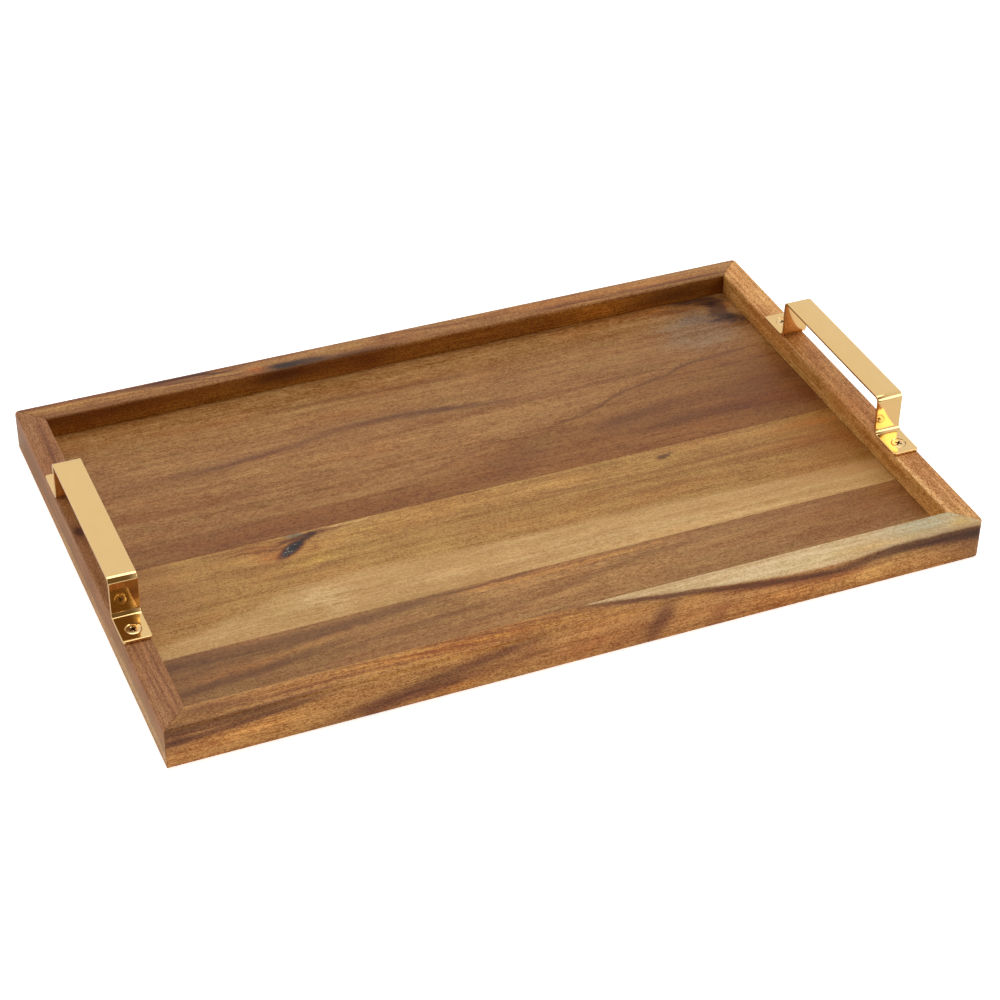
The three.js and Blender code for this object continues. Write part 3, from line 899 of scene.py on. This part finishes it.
FRONT_RAIL_MARKS = [
    vein([(-290, 15.5), (-196, 15), (-140, 13.5)], 2.4, (0.5, 0.4, 0.36), core=0.3),
    vein([(-290, 27), (-220, 23.5), (-172, 19.5), (-130, 16)], 2.6, (0.44, 0.34, 0.36), core=0.3),
    vein([(-290, 19), (-205, 18), (-150, 15)], 2.4, (0.5, 0.4, 0.38), core=0.3),
    spot(-224, 22, 12, 7, (0.62, 0.5, 0.5)),
    spot(-176, 27, 40, 7, (1.34, 1.34, 1.2), slope=-0.1),
    spot(-150, 34, 60, 5, (1.1, 1.12, 1.1)),
    spot(-60, 8, 100, 12, (1.18, 1.1, 0.8)),
    vein([(-150, 1), (-100, 5), (-45, 10.5)], 0.9, (0.74, 0.6, 0.46), core=0.2),
    vein([(-110, 0), (-60, 4), (-10, 9.5)], 0.9, (0.74, 0.6, 0.46), core=0.2),
    vein([(-130, 3), (-80, 8), (-40, 13)], 0.8, (0.8, 0.68, 0.54), core=0.2),
    vein([(-66, 0), (-24, 4), (22, 10)], 0.8, (0.78, 0.66, 0.5), core=0.2),
    vein([(-226, 4), (-208, 5), (-176, 8)], 4.2, (0.7, 0.64, 0.68)),
    vein([(-200, 10), (-120, 9), (-60, 12.5)], 1.5, (0.72, 0.62, 0.56)),
    vein([(-170, 4), (-60, 7), (30, 12.5)], 2.6, (1.14, 1.1, 0.95)),
    vein([(-120, 2), (-40, 3), (20, 8)], 1.2, (0.8, 0.7, 0.6)),
    vein([(-156, 37), (-112, 31), (-70, 23), (-20, 16)], 5.2, (0.5, 0.4, 0.44), core=0.25),
    vein([(-135, 38), (-105, 34), (-66, 29)], 4.2, (0.56, 0.44, 0.5), core=0.3),
    vein([(-90, 34), (-60, 29), (-20, 27)], 3.4, (0.72, 0.6, 0.6)),
    spot(-75, 35, 16, 3, (1.2, 1.06, 0.8)),
    spot(-5, 30, 34, 9, (0.94, 0.82, 0.78), slope=-0.1),
    spot(-8, 22, 22, 6, (1.12, 1.12, 1.1), slope=-0.15),
    spot(36, 27, 13, 15, (0.46, 0.36, 0.38), slope=-0.9, core=0.15),
    spot(72, 32, 11, 10, (0.74, 0.6, 0.56), slope=-0.8, core=0.1),
    spot(146, 31, 62, 7, (1.2, 1.22, 1.16)),
    spot(-36, 24, 14, 5, (0.8, 0.68, 0.64), slope=0.1),
    spot(16, 33, 16, 6, (0.8, 0.68, 0.64), slope=-0.4),
    spot(50, 21, 20, 6, (1.1, 1.04, 0.95), slope=-0.3),
    spot(110, 30, 40, 9, (1.14, 1.04, 0.9), slope=-0.1),
    spot(165, 31, 30, 9, (1.1, 1.18, 1.2), slope=-0.1),
    spot(205, 34, 26, 6, (1.2, 1.2, 1.2)),
    zone([(-7, -2), (9, 3.2), (36, 7.2), (60, 11), (89, 15.2), (134, 18.5), (171, 16.8), (229, 17)], 2.2,
         SAP, calm=0.5),
    vein([(-20, -2), (11, 5), (36, 9.2), (60, 13.4), (89, 18), (134, 23), (165, 25)], 3.0,
         (0.42, 0.32, 0.3), core=0.3),
    vein([(50, 15), (96, 20), (131, 25), (170, 28)], 4.0, (0.72, 0.56, 0.5), core=0.2),
    vein([(118, 25), (148, 21.5), (185, 19.4), (240, 21.5), (330, 23)], 4.6, (0.4, 0.34, 0.37), core=0.4),
    vein([(166, 20), (214, 22.5), (330, 26)], 4.5, (0.46, 0.36, 0.34), core=0.3),
    spot(196, 4, 34, 14, (0.76, 0.92, 1.1), core=0.1),
    spot(160, 12, 36, 3.5, (1.06, 1.0, 0.8), slope=0.03),
    spot(216, 11, 10, 5, (1.1, 0.98, 0.66)),
    spot(226, 28, 36, 18, (0.62, 0.56, 0.54)),
    spot(-216, 8, 34, 9, (0.82, 0.76, 0.68)),
    vein([(100, 3), (150, 5), (200, 11)], 1.2, (0.86, 0.8, 0.74)),
]

BACK_RAIL_MARKS = [
    spot(-63, 3.4, 25, 4.2, (0.27, 0.25, 0.38), slope=-0.06, core=0.45),
    spot(-70, 3, 13, 3.2, (0.4, 0.4, 0.5), core=0.4),
    spot(-26, 1, 30, 3.4, (0.5, 0.42, 0.36), core=0.3),
    vein([(-160, 11.5), (-125, 12.5), (-108, 9.5), (-92, 8.5)], 1.5, (0.42, 0.3, 0.26), core=0.3),
    vein([(-150, 9.5), (-120, 6.5), (-94, 2.5)], 1.2, (0.6, 0.46, 0.4), core=0.3),
    vein([(-190, 7), (-150, 6), (-104, 1)], 1.0, (0.72, 0.6, 0.5), core=0.2),
    vein([(-232, 10), (-200, 9), (-150, 7.5)], 3.4, (1.26, 1.32, 1.3)),
    spot(-22, 9, 26, 4, (1.14, 1.24, 1.14)),
    spot(-8, 10, 8, 4, (0.74, 0.6, 0.54)),
    vein([(20, 9.5), (90, 10), (170, 9)], 3.2, (1.18, 1.12, 0.92)),
    vein([(84, 3.5), (120, 3), (150, 2)], 1.2, (0.6, 0.46, 0.36), core=0.2),
    vein([(150, 4), (190, 3.6), (222, 3)], 1.6, (0.56, 0.42, 0.36), core=0.2),
    spot(-88, 5, 8, 4, (1.3, 0.86, 0.46), core=0.2),
    # painted highlight: a pale patch near the rail's outer top edge
    spot(-52, 12, 20, 3.5, (1.2, 1.35, 1.6)),
    spot(-92, 12.5, 20, 2.5, (1.1, 1.2, 1.4)),
    vein([(-152, 10), (-122, 9), (-86, 13.5)], 1.5, (0.6, 0.5, 0.48)),
    vein([(-200, 12), (-140, 11), (-104, 14)], 2.2, (0.7, 0.6, 0.58)),
    vein([(-28, 15), (10, 11), (60, 5)], 1.6, (0.72, 0.62, 0.58)),
    vein([(-30, 7), (0, 5), (40, 2)], 3.0, (0.8, 0.7, 0.66)),
    vein([(60, 5), (130, 8), (215, 7)], 3.5, (1.14, 1.1, 1.0)),
    # painted shade: the whole inner face darker and more saturated, as it gets little direct light and
    # mostly brown bounce from the floor
    zone([(-229, -1.5), (229, -1.5)], 2.5, (0.88, 0.71, 0.27)),
    spot(-190, -3, 100, 7, (0.46, 0.32, 0.12)),
    spot(-60, -5, 60, 8, (0.68, 0.62, 0.54)),
    spot(216, -5, 34, 10, (0.66, 0.58, 0.42)),
    spot(-75, -4, 26, 9, (0.5, 0.4, 0.45)),
    spot(-20, -7, 20, 8, (0.7, 0.6, 0.6)),
    spot(128, -7, 24, 7, (1.6, 1.7, 1.7)),
    spot(178, -6, 34, 8, (0.5, 0.44, 0.4)),
    vein([(-290, 13.5), (-150, 13), (-10, 15)], 3.2, (0.66, 0.5, 0.36), core=0.2),
    vein([(-10, 15.5), (120, 15), (260, 15)], 2.4, (0.76, 0.68, 0.6)),
    vein([(-230, 22), (-100, 25), (40, 21), (230, 26)], 1.8, (0.66, 0.54, 0.46)),
    vein([(-230, 34), (-60, 31), (90, 35), (230, 32)], 2.4, (0.7, 0.58, 0.5)),
    vein([(-60, 28), (60, 27), (200, 29)], 1.2, (1.15, 1.15, 1.05)),
    spot(110, 29, 40, 5, (0.7, 0.6, 0.58), slope=0.1),
]

LEFT_RAIL_MARKS = [
    spot(120, 28, 110, 14, (0.7, 0.66, 0.54)),
    # painted reflection: these two marks make the outer face pale and grey, strongest near its foot, as the
    # white table shows in it at a glancing angle
    spot(-90, 32, 110, 10, (1.2, 1.5, 1.7)),
    vein([(-290, 38), (-60, 38), (290, 40)], 11, (1.4, 1.7, 2.1)),
    spot(22.5, 11, 6.5, 3.6, (0.3, 0.23, 0.26), core=0.3),
    spot(22.5, 11, 16, 5, (0.72, 0.58, 0.54)),
    vein([(150, 5), (100, 6), (50, 9)], 1.4, (0.66, 0.56, 0.52)),
    vein([(-10, 12), (-70, 11), (-150, 9)], 1.1, (0.64, 0.54, 0.5)),
    vein([(-30, 6), (-80, 5), (-150, 2)], 1.1, (0.68, 0.58, 0.54)),
    vein([(-60, 9), (-100, 8), (-150, 6)], 0.9, (0.7, 0.6, 0.56)),
    vein([(-150, 22), (-60, 24), (40, 22), (150, 24)], 1.0, (0.66, 0.56, 0.5)),
    vein([(-150, 29), (-30, 28), (150, 31)], 1.3, (0.7, 0.6, 0.54)),
    vein([(-150, 35), (0, 34), (150, 36)], 1.0, (0.74, 0.64, 0.56)),
]

RIGHT_RAIL_MARKS = [
    spot(120, 8, 60, 14, (1.1, 1.12, 1.08)),
    spot(20, 9, 70, 8, (0.98, 0.92, 0.9)),
    zone([(-148, -1), (148, -1)], 1.2, (1.1, 1.16, 1.04)),
    # painted highlight: a bright line along the rail's inner top edge
    vein([(-60, 0), (-110, 0.5), (-146, 1)], 1.7, (1.45, 1.75, 2.2)),
    vein([(-150, 20), (-70, 22), (10, 19), (150, 23)], 1.4, (0.72, 0.6, 0.5)),
    vein([(-150, 31), (-20, 28), (70, 31), (150, 29)], 2.2, (0.7, 0.58, 0.48)),
    vein([(-100, 36), (0, 35), (120, 37)], 1.2, (0.78, 0.68, 0.58)),
    spot(60, 26, 50, 4, (1.12, 1.12, 1.05)),
]

BACK_BOARD_BASE = srgb(156, 108, 57)
MIDDLE_BOARD_BASE = srgb(172, 125, 62)
FRONT_BOARD_BASE = srgb(154, 107, 57)
FRONT_RAIL_BASE = srgb(170, 117, 58)
BACK_RAIL_BASE = srgb(162, 110, 56)
LEFT_RAIL_BASE = srgb(156, 104, 60)
RIGHT_RAIL_BASE = srgb(200, 140, 79)
SPLINE_BASE = srgb(205, 170, 120)


# ---- Metal -------------------------------------------------------------------

PLATING = (0.91, 0.615, 0.265, 1)
SCREW_PLATING = (0.93, 0.66, 0.33, 1)
# painted shade for the deep part of a screw's cross recess: its dark colour, and how far below the screw's
# top it begins
RECESS_SHADE = (0.1, 0.055, 0.025, 1)
RECESS_SHADE_DEPTH = 0.35 * MM  # below the top of a screw


def gold(name, colour, roughness, shade_below=None):
    """Polished gold plating, with the faint waves and hairlines of buffed strap.

    Below the height given by its last argument it is dull, and painted dark as shade in the recess of a
    screw."""
    material, tree, shader = new_material(name)
    x, y, z = object_place(tree)
    haze = noise_field(tree, x / 9, y / 14, z / 9, 2)
    hairs = noise_field(tree, x / 0.12, y / 7, z / 0.12, 2, 0.6)
    red, green, blue, _ = colour
    dull = (red * 0.97, green * 0.95, blue * 0.92, 1)
    bright = (min(red * 1.02, 1), green * 1.03, blue * 1.06, 1)
    finish = mixed(tree, dull, bright, haze)
    rough = haze * 0.05 + hairs * 0.05 + roughness
    # painted shade: dark at the bottom of a screw's recess
    if shade_below is not None:
        recess_shade = z.smooth(shade_below / MM + 0.15, shade_below / MM - 0.35)
        finish = mixed(tree, finish, RECESS_SHADE, recess_shade)
        rough = rough + recess_shade * 0.3
    shader.inputs["Metallic"].default_value = 1
    tree.links.new(finish, shader.inputs["Base Color"])
    tree.links.new(rough.socket, shader.inputs["Roughness"])
    bumped(tree, shader, hairs * 0.25 + haze, 0.08, 0.05 * MM)
    return material


# ---- Assembly ----------------------------------------------------------------


def stand_for(piece, node, material):
    """The piece takes the CAD node's place, and its material."""
    piece.data.materials.clear()
    piece.data.materials.append(material)
    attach(piece, "root")
    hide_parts(node)


def build_rails():
    sides = [
        ("front", HALF_LENGTH, front_axes, FRONT_RAIL_BASE, FRONT_RAIL_MARKS),
        ("right", HALF_WIDTH, right_axes, RIGHT_RAIL_BASE, RIGHT_RAIL_MARKS),
        ("back", HALF_LENGTH, back_axes, BACK_RAIL_BASE, BACK_RAIL_MARKS),
        ("left", HALF_WIDTH, left_axes, LEFT_RAIL_BASE, LEFT_RAIL_MARKS),
    ]
    for turns, (side, half, axes, base, marks) in enumerate(sides):
        piece = rail(f"{side}_rail", half, turns, 10.0 * turns)
        material = wood(
            f"{side}_rail_wood", base, axes, 3.7 + 13.1 * turns, marks,
            wander=0.4, ragged=0.35, contrast=1.3, edge_wear_and_highlight=True,
        )
        slot = "long_rail_wood" if half == HALF_LENGTH else "short_rail_wood"
        stand_for(piece, f"rail_{side}", material)


def build_floor():
    boards = [
        ("back", BACK_BOARD_BASE, 1.5, BACK_BOARD_MARKS, ()),
        ("middle", MIDDLE_BOARD_BASE, 41.2, MIDDLE_BOARD_MARKS, ((-119.5, -17, 26, 8),)),
        ("front", FRONT_BOARD_BASE, 77.7, FRONT_BOARD_MARKS, ()),
    ]
    for side, base, seed, marks, knots in boards:
        piece = board(side)
        material = wood(f"{side}_board_wood", base, floor_axes, seed, marks, knots, wander=0.8)
        stand_for(piece, f"stave_{side}", material)


def build_handles():
    plating = gold("gold_plating", PLATING, 0.04)
    screw_plating = gold("screw_plating", SCREW_PLATING, 0.16, shade_below=screw_top - RECESS_SHADE_DEPTH)
    for side in ("left", "right"):
        stand_for(handle(side), f"handle_{side}", plating)
        for foot in ("front", "back"):
            where = f"{side}_{foot}"
            stand_for(screw(where), f"screw_{where}", screw_plating)


def build_splines():
    """The hidden splines keep their CAD shape and get a bare wood."""
    bare = wood("spline_wood", SPLINE_BASE, floor_axes, 90.0, [], contrast=0.5, roughness=0.6)
    for node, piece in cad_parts.items():
        if node.startswith("mitre_spline"):
            piece.data.materials.clear()
            piece.data.materials.append(bare)


# ---- Stage, light and camera -------------------------------------------------

TABLE_HALF = 6
TABLE_DROP = 0.2 * MM  # so that the tray doesn't touch it
TABLE_GLOW = 0.7
ROOM_DARK = (0.155, 0.107, 0.055, 1)
ROOM_LIGHT = (0.85, 0.85, 0.85, 1)
PAPER = (1, 1, 1, 1)
SOFTBOXES = (  # name, place, size, watts
    ("top_softbox", (0.1, 0.3, 1.8), (1.6, 1.1), 12.4),
    ("front_softbox", (1.2, -1.5, 1.0), (1.1, 1.0), 6.5),
    ("left_softbox", (-1.6, 0.1, 0.5), (1.0, 0.8), 3),
)


def table_paint():
    """White, lit a little from within as a light table is. Mirrors see it without that."""
    paint, tree, shader = new_material("studio_white")
    shader.inputs["Base Color"].default_value = (0.9, 0.9, 0.9, 1)
    shader.inputs["Roughness"].default_value = 0.9
    shader.inputs["Specular IOR Level"].default_value = 0.1
    shader.inputs["Emission Color"].default_value = PAPER
    mirrored = Field(tree, tree.nodes.new("ShaderNodeLightPath").outputs["Is Glossy Ray"])
    glow = mirrored * -TABLE_GLOW + TABLE_GLOW
    tree.links.new(glow.socket, shader.inputs["Emission Strength"])
    return paint


def build_stage():
    builder = bmesh.new()
    bmesh.ops.create_grid(builder, x_segments=2, y_segments=2, size=TABLE_HALF)
    table = mesh_object("studio_table", builder)
    table.location.z = -TABLE_DROP
    table.data.materials.append(table_paint())


def softbox(name, centre, size, watts):
    """A soft light that faces the tray."""
    light = bpy.data.lights.new(name, "AREA")
    light.shape = "RECTANGLE"
    light.size, light.size_y = size
    light.energy = watts
    lamp = bpy.data.objects.new(name, light)
    lamp.location = centre
    lamp.rotation_euler = (Vector((0, 0, 0)) - lamp.location).to_track_quat("-Z", "Y").to_euler()
    bpy.context.scene.collection.objects.link(lamp)


def build_world():
    """A pale room, bright behind the tray and on its right, warm and dark where the camera stands.

    The camera itself sees it as white paper."""
    world = bpy.data.worlds.new("studio")
    world.use_nodes = True
    tree = world.node_tree
    coordinates = tree.nodes.new("ShaderNodeTexCoord")
    split = tree.nodes.new("ShaderNodeSeparateXYZ")
    tree.links.new(coordinates.outputs["Generated"], split.inputs[0])
    x, y = [Field(tree, split.outputs[i]) for i in (0, 1)]
    window = x.smooth(0.24, 0.46) * 0.9
    share = y.smooth(-0.3, 0.6).apply("MAXIMUM", window)
    room = mixed(tree, ROOM_DARK, ROOM_LIGHT, share)
    seen = Field(tree, tree.nodes.new("ShaderNodeLightPath").outputs["Is Camera Ray"])
    tree.links.new(mixed(tree, room, PAPER, seen), tree.nodes["Background"].inputs[0])
    bpy.context.scene.world = world


def build_light():
    build_world()
    for name, centre, size, watts in SOFTBOXES:
        softbox(name, centre, size, watts)


CAMERA_PLACE = Vector((-0.439, -1.0395, 0.8246))
CAMERA_AIM = Vector((0.0004, -0.0186, 0.012))
CAMERA_ROLL = math.radians(0.89)
CAMERA_LENS = 90.3  # millimetres, as is the sensor
CAMERA_SENSOR = 36


def build_camera():
    data = bpy.data.cameras.new("camera")
    data.lens = CAMERA_LENS
    data.sensor_width = CAMERA_SENSOR
    camera = bpy.data.objects.new("camera", data)
    look = (CAMERA_AIM - CAMERA_PLACE).to_track_quat("-Z", "Y").to_matrix().to_4x4()
    camera.matrix_world = Matrix.Translation(CAMERA_PLACE) @ look @ Matrix.Rotation(CAMERA_ROLL, 4, "Z")
    bpy.context.scene.collection.objects.link(camera)
    bpy.context.scene.camera = camera


bpy.context.scene.view_settings.view_transform = "Standard"
build_camera()
build_light()
build_stage()
build_floor()
build_rails()
build_handles()
build_splines()

bpy.context.view_layer.update()
